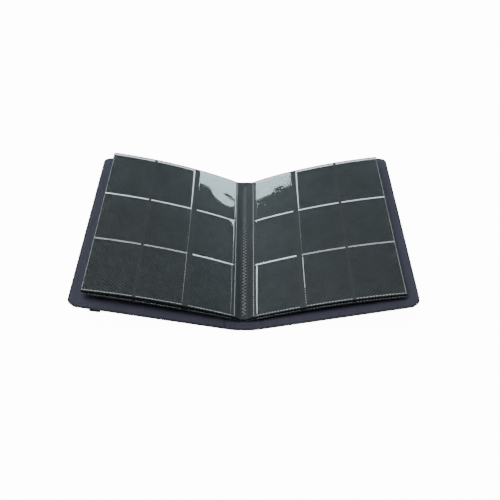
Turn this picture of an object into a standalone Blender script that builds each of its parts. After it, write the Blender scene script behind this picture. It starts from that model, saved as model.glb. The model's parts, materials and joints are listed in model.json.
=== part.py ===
"""Trading-card album, side-loading, nine pockets a page, opened at its middle.

The album stands on the flat of its spine in a shallow V.  Frame: origin under the
middle of the spine, +X to the right, +Y away along the spine, +Z up, in metres.
A stiff cover hangs on each crease of the spine, and ten leaves turn on each side of
the sewn seam.  Every moving piece is parented to an empty that lies on its joint axis:
local X runs along the panel, local Z is the normal of its inner face.
"""

import math

import bmesh
import bpy

MM = 0.001

# ---- driving dimensions, in millimetres and degrees ----
COVER_HEIGHT = 310.0         # along the spine
CREASE_X = 25.5              # half the width of the spine panel
CREASE_Z = 3.0               # how far the spine rises from its flat to the crease
SPINE_FLAT = 8.0             # half the width of the flat that the album rests on
COVER_REACH = 236.0          # from the middle of the album to a cover's fore-edge
COVER_TILT = 14.5            # a cover above the horizontal
COVER_CORNER = 13.0          # radius of a cover's outer corners

SKIN = 0.5                   # leatherette
BOARD = 1.0                  # cover board and spine stiffener
LINER = 0.4                  # inner lining
PLY_GAP = 0.15               # between the plies of a cover
COVER_THICK = SKIN + BOARD + LINER + 2 * PLY_GAP

POCKET_PITCH = 70.0          # one pocket column, for a card 63 wide
ROW_PITCH = 280.0 / 3        # one pocket row, for a card 88 high
COLUMNS = 3
ROWS = 3
PAGE_EDGE = 1.5              # core beyond the first and last weld of a row

LEAVES = 10                  # on each side
LEAF_THICK = 0.35            # core and films of a closed leaf
LEAF_PITCH = 0.6             # between hinge lines, along X and along Z
TOP_PITCH = 0.82             # from the ninth hinge line to the top leaf's
TOP_HINGE_X = 5.0            # hinge line of the top leaf
BOTTOM_HINGE_Z = 5.7         # hinge line of the bottom leaf
LEAF_START = 0.5             # a leaf begins this far from its hinge line
TOP_LENGTH = 220.4           # hinge line to fore-edge, top leaf
CREEP = 0.9                  # a lower leaf is shorter by this share of its hinge's offset
BOTTOM_TILT = {"left": 16.7, "right": 14.9}
TOP_TILT = {"left": 17.1, "right": 15.05}
LEAF_CORNER = 3.0

CORE = 0.25                  # core sheet of the top leaf
FILM = 0.12                  # clear film of the top leaf
FILM_GAP = 0.15
FILM_OPEN = 3.0              # core left bare beside a pocket's open edge
FILM_SHUT = 1.5              # core left bare beside a pocket's welded edge

STRAP_WIDTH = 15.0
STRAP_THICK = 1.2
STRAP_GAP = 0.3
STRAP_FROM_EDGE = 38.0       # fore-edge to the middle of the strap
STRAP_END = 5.0              # length of the fixed end that shows
STRAP_END_GAP = 0.3          # between the band and a fixed end
STRAP_NECK = 1.2             # part of the end that goes through the skin
STRAP_NECK_INSET = 0.5       # how much narrower the neck is on each edge
STRAP_NECK_SINK = 0.4        # how far the neck starts above the end's outer face
STRAP_TONGUE = 12.0          # part of the end that lies in the board
STRAP_TONGUE_INSET = 0.2
STRAP_TONGUE_BACK = 0.6      # the tongue also runs this far past the neck's inner face
STRAP_TONGUE_CLEAR = 0.15    # above and below the tongue in the board
STRAP_SLOT_CLEAR = 0.3       # around the neck in the skin, and around the tongue in the board
CUT_OVER = 1.0               # a cutter reaches this far past the faces it cuts

TAPE_CLEAR = 0.2             # below and above the binding tape
TAPE_THICK = 0.6
FLANK_CLEAR = 0.64           # hinge lines to the flank of the sewn middles, along X
FOOT_INSET = 0.3             # bottom hinge line to the foot of the sewn middles
RIDGE_DROP = 1.5             # top hinge line to the ridge, room for a closing leaf's inner end
RIDGE_WIDTH = 0.7
SEAM_DROP = 2.0              # ridge to the bottom of the valley
VALLEY_X = 1.8               # where the valley's floor starts to rise
VALLEY_RISE = 0.6

SEAM_PITCH = 6.0             # one zigzag of the seam
SEAM_HALF_WIDTH = 1.4
THREAD_RADIUS = 0.3
THREAD_LIFT = 1.1            # middle of the thread above the bottom of the valley

SIDES = {"left": -1, "right": 1}


# ---- derived dimensions ----
COVER_LENGTH = (COVER_REACH - CREASE_X) / math.cos(math.radians(COVER_TILT))
HINGE_Z = CREASE_Z + SKIN / 2
SKIN_START = 0.6             # the skins stop this far from the crease
BOARD_START = 3.0            # the boards leave the crease free to fold
LINER_START = 2.6
RIM = 1.0                    # the skin's turned edge around the board
BOARD_INSET = 0.2            # rim to the board, and rim to the lining
LINER_INSET = 1.5
TOP_HINGE_Z = BOTTOM_HINGE_Z + (LEAVES - 2) * LEAF_PITCH + TOP_PITCH
PAGE_HALF = ROWS * ROW_PITCH / 2 + PAGE_EDGE
FIRST_WELD = TOP_LENGTH - COLUMNS * POCKET_PITCH


def leaf_hinge(number):
    """(x, z) of the hinge line of leaf 1, the bottom one, to LEAVES, the top one."""
    if number == LEAVES:
        return TOP_HINGE_X, TOP_HINGE_Z
    below_top = (LEAVES - 1 - number) * LEAF_PITCH + TOP_PITCH
    return TOP_HINGE_X + below_top, TOP_HINGE_Z - below_top


def leaf_tilt(side, number):
    share = (number - 1) / (LEAVES - 1)
    return BOTTOM_TILT[side] + share * (TOP_TILT[side] - BOTTOM_TILT[side])


def leaf_length(number):
    return TOP_LENGTH - CREEP * (leaf_hinge(number)[0] - TOP_HINGE_X)


def spine_rise(x):
    """Height of the spine's outer face at x."""
    share = max(0.0, abs(x) - SPINE_FLAT) / (CREASE_X - SPINE_FLAT)
    return CREASE_Z * share ** 1.4


# ---- scene helpers ----
def clear_scene():
    for obj in list(bpy.data.objects):
        bpy.data.objects.remove(obj, do_unlink=True)


def new_collection(name):
    made = bpy.data.collections.new(name)
    bpy.context.scene.collection.children.link(made)
    return made


def material(name, color, roughness, metallic=0.0, alpha=1.0):
    mat = bpy.data.materials.new(name)
    mat.use_nodes = True
    shader = mat.node_tree.nodes["Principled BSDF"]
    shader.inputs["Base Color"].default_value = (*color, 1.0)
    shader.inputs["Roughness"].default_value = roughness
    shader.inputs["Metallic"].default_value = metallic
    shader.inputs["Alpha"].default_value = alpha
    return mat


def add_object(name, mesh, mat, parent=None, collection=None):
    obj = bpy.data.objects.new(name, mesh)
    (collection or PARTS).objects.link(obj)
    obj.parent = parent
    if mat:
        mesh.materials.append(mat)
    return obj


def pivot(name, side, x, z, tilt):
    """An empty on a joint axis, turned so that local X follows the panel."""
    empty = bpy.data.objects.new(name, None)
    PARTS.objects.link(empty)
    empty.location = (side * x * MM, 0.0, z * MM)
    empty.rotation_euler = (0.0, -side * math.radians(tilt), 0.0)
    return empty


def slab_mesh(name, side, x0, x1, y0, y1, z0, z1, corner=0.0, segments=6):
    """A slab from x0 to x1 outward from the hinge, whose outer corners are rounded."""
    bm = bmesh.new()
    bmesh.ops.create_cube(bm, size=1.0)
    size = ((x1 - x0) * MM, (y1 - y0) * MM, (z1 - z0) * MM)
    middle = (side * (x0 + x1) / 2 * MM, (y0 + y1) / 2 * MM, (z0 + z1) / 2 * MM)
    bmesh.ops.scale(bm, vec=size, verts=bm.verts)
    if corner:
        upright = [
            edge for edge in bm.edges
            if abs(edge.verts[0].co.z - edge.verts[1].co.z) > size[2] / 2
            and edge.verts[0].co.x * side > 0
        ]
        bmesh.ops.bevel(
            bm, geom=upright, offset=corner * MM, offset_type="OFFSET",
            segments=segments, profile=0.5, affect="EDGES",
        )
    bmesh.ops.translate(bm, vec=middle, verts=bm.verts)
    mesh = bpy.data.meshes.new(name)
    bm.to_mesh(mesh)
    bm.free()
    return mesh


def slab(name, side, parent, mat, x0, x1, half_y, z0, z1, corner=0.0):
    mesh = slab_mesh(name, side, x0, x1, -half_y, half_y, z0, z1, corner)
    return add_object(name, mesh, mat, parent)


def box(name, mat, parent, x0, x1, y0, y1, z0, z1, side=1):
    mesh = slab_mesh(name, side, x0, x1, y0, y1, z0, z1)
    return add_object(name, mesh, mat, parent)


def cutter(name, mesh, parent):
    obj = add_object(name, mesh, None, parent, CUTTERS)
    obj.hide_render = True
    obj.display_type = "WIRE"
    return obj


def boolean(obj, tool, operation="DIFFERENCE"):
    mod = obj.modifiers.new(tool.name, "BOOLEAN")
    mod.operation = operation
    mod.solver = "EXACT"
    mod.object = tool


def spine_ply(name, mat, half_x, half_y, base, thick, columns=24):
    """One ply of the spine: a strip that follows the spine's rise, made solid."""
    bm = bmesh.new()
    bmesh.ops.create_grid(bm, x_segments=columns, y_segments=1, size=1.0)
    for vert in bm.verts:
        x = vert.co.x * half_x
        vert.co = (x * MM, vert.co.y * half_y * MM, (spine_rise(x) + base) * MM)
    mesh = bpy.data.meshes.new(name)
    bm.to_mesh(mesh)
    bm.free()
    obj = add_object(name, mesh, mat)
    mod = obj.modifiers.new("thickness", "SOLIDIFY")
    mod.thickness = thick * MM
    mod.offset = 1.0
    return obj


# ---- sub-parts ----
def make_spine():
    half = COVER_HEIGHT / 2
    spine_ply("spine_skin", LEATHERETTE, CREASE_X - SKIN_START, half, 0.0, SKIN)
    spine_ply(
        "spine_stiffener", GREYBOARD, CREASE_X - BOARD_START, half - RIM,
        SKIN + PLY_GAP, BOARD,
    )
    spine_ply(
        "spine_liner", LINING, CREASE_X - LINER_START, half - RIM,
        SKIN + BOARD + 2 * PLY_GAP, LINER,
    )


def make_binding():
    """The tape on the spine, the sewn middles of the sheets, and the seam's thread."""
    tape_z = COVER_THICK + TAPE_CLEAR
    box(
        "binding_tape", TAPE, None, -SPINE_FLAT, SPINE_FLAT,
        -PAGE_HALF, PAGE_HALF, tape_z, tape_z + TAPE_THICK,
    )
    base_z = tape_z + TAPE_THICK + TAPE_CLEAR
    flank = TOP_HINGE_X + TOP_HINGE_Z - FLANK_CLEAR    # x + z all along the flank
    foot_x = leaf_hinge(1)[0] - FOOT_INSET
    ridge_z = TOP_HINGE_Z - RIDGE_DROP
    seam_z = ridge_z - SEAM_DROP
    half_outline = [
        (foot_x, base_z),
        (foot_x, flank - foot_x),
        (flank - ridge_z, ridge_z),
        (flank - ridge_z - RIDGE_WIDTH, ridge_z),
        (VALLEY_X, seam_z + VALLEY_RISE),
    ]
    outline = half_outline + [(0.0, seam_z)]
    outline += [(-x, z) for x, z in reversed(half_outline)]
    curve = bpy.data.curves.new("sewn_sheet_centres", "CURVE")
    curve.dimensions = "2D"
    curve.fill_mode = "BOTH"
    curve.extrude = PAGE_HALF * MM
    spline = curve.splines.new("POLY")
    spline.points.add(len(outline) - 1)
    for point, (x, z) in zip(spline.points, outline):
        point.co = (x * MM, z * MM, 0.0, 1.0)
    spline.use_cyclic_u = True
    block = bpy.data.objects.new("sewn_sheet_centres", curve)
    PARTS.objects.link(block)
    block.rotation_euler = (math.radians(90), 0.0, 0.0)
    curve.materials.append(CORE_SHEET)
    make_seam(seam_z + THREAD_LIFT)


def make_seam(height):
    """A zigzag of thread down the middle of the gutter."""
    curve = bpy.data.curves.new("seam_thread", "CURVE")
    curve.dimensions = "3D"
    curve.bevel_depth = THREAD_RADIUS * MM
    curve.bevel_resolution = 2
    curve.use_fill_caps = True
    turns = int(2 * (PAGE_HALF - SEAM_PITCH) / SEAM_PITCH * 2)
    spline = curve.splines.new("POLY")
    spline.points.add(turns)
    for number, point in enumerate(spline.points):
        x = SEAM_HALF_WIDTH * (1 if number % 2 else -1)
        y = (number - turns / 2) * SEAM_PITCH / 2
        point.co = (x * MM, y * MM, height * MM, 1.0)
    thread = bpy.data.objects.new("seam_thread", curve)
    PARTS.objects.link(thread)
    curve.materials.append(THREAD)


def make_cover(side_name):
    """Skin with a turned rim, board and lining, on the crease of the spine."""
    side = SIDES[side_name]
    hinge = pivot(f"{side_name}_cover_pivot", side, CREASE_X, HINGE_Z, COVER_TILT)
    half = COVER_HEIGHT / 2
    low = -SKIN / 2                    # the hinge line lies inside the skin
    rim_top = low + SKIN + PLY_GAP + BOARD
    skin = slab(
        f"{side_name}_cover_skin", side, hinge, LEATHERETTE,
        SKIN_START, COVER_LENGTH, half, low, rim_top, COVER_CORNER,
    )
    hollow = slab_mesh(
        f"{side_name}_skin_hollow", side, -RIM, COVER_LENGTH - RIM,
        -half + RIM, half - RIM, low + SKIN, rim_top + RIM, COVER_CORNER - RIM,
    )
    boolean(skin, cutter(f"{side_name}_skin_hollow", hollow, hinge))
    inset = RIM + BOARD_INSET
    board = slab(
        f"{side_name}_cover_board", side, hinge, GREYBOARD,
        BOARD_START, COVER_LENGTH - inset, half - inset,
        low + SKIN + PLY_GAP, rim_top, COVER_CORNER - inset,
    )
    inset = RIM + LINER_INSET
    slab(
        f"{side_name}_cover_liner", side, hinge, LINING,
        LINER_START, COVER_LENGTH - inset, half - inset,
        rim_top + PLY_GAP, rim_top + PLY_GAP + LINER, COVER_CORNER - inset,
    )
    return hinge, skin, board


def reach(way, start, end):
    """The lower and the upper Y of a stretch that is mirrored to the near end by way -1."""
    return sorted((way * start, way * end))


def make_strap(side_name, hinge, skin, board):
    """The elastic strap on the outside of a cover, and its two fixed ends."""
    side = SIDES[side_name]
    half = COVER_HEIGHT / 2
    low = -SKIN / 2
    top = low - STRAP_GAP
    bottom = top - STRAP_THICK
    middle = COVER_LENGTH - STRAP_FROM_EDGE
    x0, x1 = middle - STRAP_WIDTH / 2, middle + STRAP_WIDTH / 2
    band_half = half - STRAP_END - STRAP_END_GAP
    box("strap_band", ELASTIC, hinge, x0, x1, -band_half, band_half, bottom, top, side)

    board_low = low + SKIN + PLY_GAP
    tongue_low, tongue_top = board_low + STRAP_TONGUE_CLEAR, board_low + BOARD - STRAP_TONGUE_CLEAR
    neck_start = half - STRAP_END / 2 - STRAP_NECK / 2
    neck_end = neck_start + STRAP_NECK
    tongue_start = neck_start - STRAP_TONGUE
    for name, way in (("near", -1), ("far", 1)):
        end = box(
            f"strap_end_{name}", ELASTIC, hinge, x0, x1,
            *reach(way, half - STRAP_END, half), bottom, top, side,
        )
        neck = slab_mesh(
            f"strap_neck_{name}", side, x0 + STRAP_NECK_INSET, x1 - STRAP_NECK_INSET,
            *reach(way, neck_start, neck_end), bottom + STRAP_NECK_SINK, tongue_top,
        )
        tongue = slab_mesh(
            f"strap_tongue_{name}", side, x0 + STRAP_TONGUE_INSET, x1 - STRAP_TONGUE_INSET,
            *reach(way, tongue_start, neck_start + STRAP_TONGUE_BACK), tongue_low, tongue_top,
        )
        boolean(end, cutter(neck.name, neck, hinge), "UNION")
        boolean(end, cutter(tongue.name, tongue, hinge), "UNION")
        slot = slab_mesh(
            f"strap_slot_{name}", side, x0, x1,
            *reach(way, neck_start - STRAP_SLOT_CLEAR, neck_end + STRAP_SLOT_CLEAR),
            low - CUT_OVER, board_low,
        )
        boolean(skin, cutter(slot.name, slot, hinge))
        notch = slab_mesh(
            f"strap_notch_{name}", side, x0 - STRAP_SLOT_CLEAR, x1 + STRAP_SLOT_CLEAR,
            *reach(way, tongue_start - STRAP_SLOT_CLEAR, neck_end + STRAP_SLOT_CLEAR),
            board_low - CUT_OVER, board_low + BOARD + CUT_OVER,
        )
        boolean(board, cutter(notch.name, notch, hinge))


def make_leaf(side_name, number):
    """A closed leaf: core and films as one plate."""
    side = SIDES[side_name]
    x, z = leaf_hinge(number)
    name = f"{side_name}_leaf_{number}"
    hinge = pivot(f"{name}_pivot", side, x, z, leaf_tilt(side_name, number))
    slab(
        name, side, hinge, CORE_SHEET, LEAF_START, leaf_length(number), PAGE_HALF,
        -LEAF_THICK / 2, LEAF_THICK / 2, LEAF_CORNER,
    )


def make_top_leaf(side_name):
    """The top leaf: its core sheet, and a film strip down each column on both faces."""
    side = SIDES[side_name]
    x, z = leaf_hinge(LEAVES)
    name = f"{side_name}_top_leaf"
    hinge = pivot(f"{name}_pivot", side, x, z, leaf_tilt(side_name, LEAVES))
    slab(
        f"{name}_core", side, hinge, CORE_SHEET, LEAF_START, TOP_LENGTH, PAGE_HALF,
        -CORE / 2, CORE / 2, LEAF_CORNER,
    )
    film_z = CORE / 2 + FILM_GAP
    film_half = ROWS * ROW_PITCH / 2
    for column in range(COLUMNS):
        start = FIRST_WELD + column * POCKET_PITCH + FILM_OPEN
        end = FIRST_WELD + (column + 1) * POCKET_PITCH - FILM_SHUT
        for face, z0, z1 in (
            ("front", film_z, film_z + FILM),
            ("back", -film_z - FILM, -film_z),
        ):
            slab(
                f"{name}_{face}_film_{column + 1}", side, hinge, CLEAR_FILM,
                start, end, film_half, z0, z1,
            )


clear_scene()
PARTS = new_collection("card_album")
CUTTERS = new_collection("cutters")

LEATHERETTE = material("leatherette", (0.012, 0.012, 0.015), 0.55)
GREYBOARD = material("greyboard", (0.20, 0.19, 0.17), 0.9)
LINING = material("lining", (0.040, 0.042, 0.065), 0.75)
TAPE = material("tape", (0.030, 0.030, 0.032), 0.8)
CORE_SHEET = material("core_sheet", (0.040, 0.045, 0.048), 0.5)
CLEAR_FILM = material("clear_film", (0.80, 0.84, 0.86), 0.1, alpha=0.25)
THREAD = material("thread", (0.10, 0.11, 0.12), 0.7)
ELASTIC = material("elastic", (0.015, 0.015, 0.018), 0.85)

make_spine()
make_binding()
left_cover = make_cover("left")
make_cover("right")
make_strap("left", *left_cover)
for side_name in SIDES:
    for leaf_number in range(1, LEAVES):
        make_leaf(side_name, leaf_number)
    make_top_leaf(side_name)
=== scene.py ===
"""Looks of a nine-pocket card album that stands open in a shallow V on its spine.

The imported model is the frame: hinge lines, tilts and lengths are read from it.  Lengths here are
in millimetres until a mesh is made.  A panel has axes of its own: s outward from its hinge line,
y along the album, and h along the normal of its upper face.
"""

import json
import math
import random

import bmesh
import bpy
import numpy as np
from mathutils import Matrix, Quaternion, Vector, noise


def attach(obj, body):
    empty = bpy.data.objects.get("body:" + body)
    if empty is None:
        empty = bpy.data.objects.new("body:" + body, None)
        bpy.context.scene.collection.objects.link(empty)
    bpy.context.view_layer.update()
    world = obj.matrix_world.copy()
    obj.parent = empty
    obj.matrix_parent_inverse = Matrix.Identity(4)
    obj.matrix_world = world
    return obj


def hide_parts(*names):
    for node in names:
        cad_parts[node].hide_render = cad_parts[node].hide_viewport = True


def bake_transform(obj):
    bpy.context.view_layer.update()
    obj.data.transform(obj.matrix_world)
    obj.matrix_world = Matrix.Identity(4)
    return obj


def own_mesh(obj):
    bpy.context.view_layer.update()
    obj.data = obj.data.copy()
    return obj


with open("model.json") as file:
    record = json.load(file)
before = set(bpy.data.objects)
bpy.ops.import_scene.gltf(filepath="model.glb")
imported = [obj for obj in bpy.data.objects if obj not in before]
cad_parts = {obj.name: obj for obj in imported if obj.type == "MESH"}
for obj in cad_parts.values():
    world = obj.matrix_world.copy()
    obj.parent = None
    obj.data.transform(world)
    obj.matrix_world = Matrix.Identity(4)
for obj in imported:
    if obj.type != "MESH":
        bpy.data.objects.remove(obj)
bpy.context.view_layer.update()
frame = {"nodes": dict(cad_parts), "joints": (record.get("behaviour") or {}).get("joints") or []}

MM = 0.001
SIDES = {"left": -1, "right": 1}
ALONG_Y = np.array((0.0, 1.0, 0.0))
JOINTS = {joint["name"]: joint for joint in frame["joints"]}
SCATTER = random.Random(7)
SHARP_ANGLE = 35.0           # degrees; edges that turn more are shaded sharp

# ---- covers and spine, as heights above the outer face ----
SPINE_FLAT = 8.0             # half the width of the flat under the spine
SPINE_CURVE = 1.4            # how the spine rises from its flat to the crease
COVER_CORNER = 13.0
SKIN_TOP = 1.72              # skin, board and turned-in skin
LINER_LOW, LINER_TOP = 1.8, 2.2
SKIN_ROUND, LINER_ROUND = 0.55, 0.2    # radii of their edges
LINER_INSET = 2.5
CREASE_HALF = 2.6            # half the width of the pressed joint at a crease
CREASE_PRESS = 0.95          # how much thinner the joint is, pressed from inside
CREASE_DENT = 0.35           # and from outside
CREASE_BEND = 1.4            # half the width about the crease, in halves of the joint, of bend ends that are worked out but not used
HEM = 15.0                   # skin turned in under the lining, which shows as a faint step
HEM_STEP, HEM_SLOPE = 0.09, 2.5    # height of that step, and how steep it is
FOLD_LINES = {"left": (112.0, 152.0), "right": (131.0,)}    # faint marks across the lining
FOLD_DEPTH, FOLD_WIDTH = 0.14, 0.6
GLUE_WAVE, GLUE_WAVE_LENGTH = 0.05, 34.0    # unevenness of the glued lining
SPINE_STEP, COVER_STEP, SKIN_STEP = 3.0, 8.0, 9.0    # between rows of points, where it is plain
CREASE_ROWS, CREASE_SPAN = 19, 1.8     # close rows at the crease, to this many halves of the joint
MARK_ROWS, MARK_SPAN = 7, 1.5          # and at a fold mark

# ---- leaves ----
LEAVES = 10
PITCH = 70.0                 # one pocket column
COLUMNS, ROWS = 3, 3
CORE = 0.25
FILM = 0.12
PAGE_CORNER = 3.0
CORNER_STEPS = (0.0, 0.25, 0.9, 1.8, PAGE_CORNER)    # depths of the rows of points at a corner
NEAR_EDGE, FAR_EDGE = 1.5, 2.9    # core beyond the first and the last row weld
ROOT_BACK = 2.3              # a leaf's soft inner margin ends this far before its first weld
SEAM_EDGE = 2.2              # half the width of the sewn strip
SEAM_LOW, SEAM_HIGH = 3.5, 8.2    # middle of the bottom sheet and of the top sheet at the seam
BOW = {"left": (3.2, 6.6), "right": (5.6, 6.4)}       # of the bottom leaf and of the top leaf
TWIST = {"left": (2.6, 90.0), "right": (1.8, 25.0)}   # rise of the far corner, and its reach
LEAF_SCATTER = 0.25          # how unevenly the leaves' near edges lie
INNER_SHIFT = 0.9            # the leaves inside the stack stand back a little at the near edge
FORWARD_LEAF = 3             # one leaf low in the stack shows a little in front of the others
FORWARD_SHIFT = -0.9
FINE_STEPS, COARSE_STEPS = (5.0, 6.0), (9.0, 12.0)    # along s and y, of a core that shows or not

# ---- a leaf's soft margin; shares run from the sewn strip to the root ----
MARGIN_HELD, MARGIN_FREE = 0.1, 0.97    # shares of a margin's held and free points, which are worked out but not used
MARGIN_SPLIT, SPLIT_GAP = 0.25, 0.02    # where the top leaf's margin is split into two pieces, and a gap for points beside the split that are not used
MARGIN_ROWS, MARGIN_STEP = 18, 9.0      # rows over a whole margin, and their points along y
GUTTER_WELD_OUT = 0.9        # fine weld between the margin and the first column, from the root
GUTTER_WELD_HALF, GUTTER_WELD_RISE = 0.38, 0.3
GUTTER_WELD_GAP = 0.01       # between it and the core

# ---- films ----
WELD_HALF = 1.25             # half the width of a weld between rows
NEAR_WELD, FAR_WELD = 0.8, 3.0    # width of the painted weld highlights along the near edge and the far edge
WELD_RIDGE = 0.24            # height of a row weld's ridge
NEAR_RIDGE, EDGE_RIDGE = 0.3, 0.15    # share of that ridge at the near edge and down a column
EDGE_WELD = 0.45             # weld down the outer edge of a column
WELD_STEPS = (               # distances from a row weld at which a film has a row of points
    0.0, 0.4, 0.8, 1.1, WELD_HALF, 1.6, 2.2, 3.0, 3.8, 5.2, 8.0, 12.5, 18.0, 25.0, 32.0, 39.0,
)
MOUTH_START = (0.6, 3.6, 1.8)    # column line to the film's edge at the welds, from the gutter out
MOUTH_CORNER = 2.5           # length of the rounded corner from a weld to the free edge
COLUMN_END = (4.2, 2.0, 1.5)     # the strip's outer weld to the next column line
FILM_REST = 0.06             # film above the core beside a weld
PILLOW = 0.14                # film above the core inside a pocket
WAVE = 0.15                  # unevenness of the film
WAVE_LENGTH = 26.0
LOOSEN = 8.0                 # how fast the film comes loose of a weld
MOUTH_REACH, MOUTH_RISE = 9.0, 18.0    # how far an open mouth reaches in, and along from a weld
CURL, CURL_RISE = 0.5, 10.0  # rise of a wide lip, and its reach along from a weld
CURL_LEAST, CURL_PAST = 0.25, 0.4      # a lip this narrow lies flat; a curl ends this far past its lip
PRESSED_LOFT, NEXT_LOFT = 0.2, 0.4    # share of all this inside the stack, and on leaf 9
# By column from the gutter, with rows from near to far: how far the free edge draws back between
# the welds, and how far it stands open.
RECESS = {
    "left": ((3.2, 2.0, 0.5), (0.7, 0.7, 0.7), (0.7, 0.7, 0.7)),
    "right": ((2.7, 3.2, 3.2), (0.7, 0.7, 0.7), (0.7, 0.7, 0.7)),
}
MOUTHS = {
    "left": ((0.3, 0.5, 0.4), (0.2, 0.2, 1.0), (0.1, 0.1, 0.1)),
    "right": ((1.1, 0.1, 0.4), (0.4, 0.3, 1.0), (0.1, 0.1, 0.1)),
}
# Width of the lip along each free edge, which curls and gets a painted highlight, in the same order.
LIPS = {
    "left": ((0.45, 0.8, 1.2), (0.5, 0.4, 2.6), (0.1, 0.1, 0.1)),
    "right": ((2.0, 0.1, 0.3), (0.9, 0.4, 2.4), (0.1, 0.1, 0.1)),
}
BACK_MOUTH, BACK_LIP = 0.2, 0.3    # the same all over the back of a leaf
LIP_START = 0.45             # share of a lip's width at the near end of its pocket
LIP_TAPER, LIP_CUT, LIP_LEAST = 4.0, 0.2, 0.12    # how it narrows beside a weld, and to what share
LIP_SHARES = (0.0, 0.25, 0.6, 1.0)     # columns of points over a lip
LIP_STEPS = (0.4, 1.0, 1.8, 3.0, 5.0, 8.0, 12.0)     # past the lip
BODY_COLUMNS = 7                       # evenly over the middle
TAIL_STEPS = (0.0, 0.22, EDGE_WELD, 1.4, 3.5, 7.0)   # and in from the outer edge
FAINT_HIGHLIGHT_LIP, WHITE_HIGHLIGHT_LIP = 0.15, 0.6       # widths from which a lip gets a faint painted highlight, and a white one
CLEAR, WHITE, HATCHED, FAINT = range(4)    # material slots of a film strip; white, hatched and faint carry painted highlight

# ---- strap and seam ----
STRAP_THICK, STRAP_POWER = 1.2, 10    # a high power squares its section
STRAP_RIBS, RIB_RISE = 7, 0.07
STRAP_OUT = 0.6              # each end runs this far past the cover's edge
STRAP_TURN = 125.0           # and turns up round it by this angle
STRAP_COLUMNS, STRAP_ROWS, TURN_ROWS = 57, 41, 10    # points across, along a half, round its end
STRAP_HELD = 5.0             # from the cover's edge to a half's held point, which is worked out but not used
STRAP_FREE = 8.0             # from its middle to its free point, also not used
SEAM_ROWS, SEAM_STEP = 7, 12.0
STITCH_PITCH = 3.0
STITCH_HALF = 2.6
STITCH_RADIUS = 0.42
STITCH_RISE, STITCH_ARCH, STITCH_SINK = 0.55, 0.6, 0.1    # a low arch power squares it
STITCH_POINTS = 7

# ---- studio, in metres and degrees ----
CAMERA_AIM = (0.0084, 0.0, 0.0135)
CAMERA_ELEVATION, CAMERA_ROLL, CAMERA_DISTANCE = 47.45, 0.085, 0.906
CAMERA_SENSOR, CAMERA_LENS = 36.0, 41.76    # in millimetres
CAMERA_SHIFT = -0.0147
FLOOR_HALF, FLOOR_DROP, FLOOR_GLOW = 9.0, 0.0003, 13.0
LAMP_PLACE, LAMP_SIZE, LAMP_POWER = (-0.55, -0.35, 2.05), 1.6, 60.0
BOX_OUT, BOX_BACK, BOX_UP = 0.564, 1.09, 0.528    # the low soft boxes behind the album
BOX_SIZE, BOX_POWER, BOX_TURN = (0.60, 0.42), 7.2, 22.0
BOX_COLOUR = (0.74, 0.93, 1.0)


# ---- reading the frame ----
def node_points(node):
    """A CAD node's vertices, in millimetres."""
    return np.array([vert.co for vert in frame["nodes"][node].data.vertices]) / MM


class Panel:
    """The axes of a flat CAD panel that turns on a joint."""

    def __init__(self, side_name, joint, node):
        self.side_name = side_name
        self.side = SIDES[side_name]
        self.origin = np.array(JOINTS[joint]["pos_m"]) / MM
        points = node_points(node)
        section = points[:, (0, 2)] - points[:, (0, 2)].mean(axis=0)
        x, z = np.linalg.svd(section, full_matrices=False)[2][0]
        if x * self.side < 0:
            x, z = -x, -z
        self.along = np.array((x, 0.0, z))
        self.normal = np.array((-z, 0.0, x)) * self.side
        self.length = ((points - self.origin) @ self.along).max()
        self.half = points[:, 1].max()

    def place(self, s, y, h):
        """World points, in millimetres, for arrays of s, y and h."""
        s, y, h = np.broadcast_arrays(s, y, h)
        return (
            self.origin + s[..., None] * self.along + y[..., None] * ALONG_Y
            + h[..., None] * self.normal
        )


class CoverPath:
    """The outer face of the spine and a cover; t runs from the spine's middle to the fore-edge."""

    def __init__(self, side_name):
        self.panel = Panel(side_name, f"{side_name}_cover_hinge", f"{side_name}_cover_liner")
        skin = node_points(f"{side_name}_cover_skin")
        reach = ((skin - self.panel.origin) @ self.panel.along).max()
        self.low = ((skin - self.panel.origin) @ self.panel.normal).min()
        self.crease = abs(self.panel.origin[0])
        self.crease_z = self.panel.origin[2] + self.low
        self.end = self.crease + reach
        self.half = skin[:, 1].max()

    def place(self, t, y, h):
        """World points for arrays of t, y and the height h above the outer face."""
        t, y, h = np.broadcast_arrays(t, y, h)
        side = self.panel.side
        share = np.clip((t - SPINE_FLAT) / (self.crease - SPINE_FLAT), 0.0, 1.0)
        rise = self.crease_z * share ** SPINE_CURVE
        steep = self.crease_z * SPINE_CURVE * share ** (SPINE_CURVE - 1) / (self.crease - SPINE_FLAT)
        angle = np.arctan(steep)
        spine = np.stack(
            (side * (t - h * np.sin(angle)), y, rise + h * np.cos(angle)), axis=-1
        )
        cover = self.panel.place(t - self.crease, y, h + self.low)
        return np.where((t < self.crease)[..., None], spine, cover)


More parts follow.
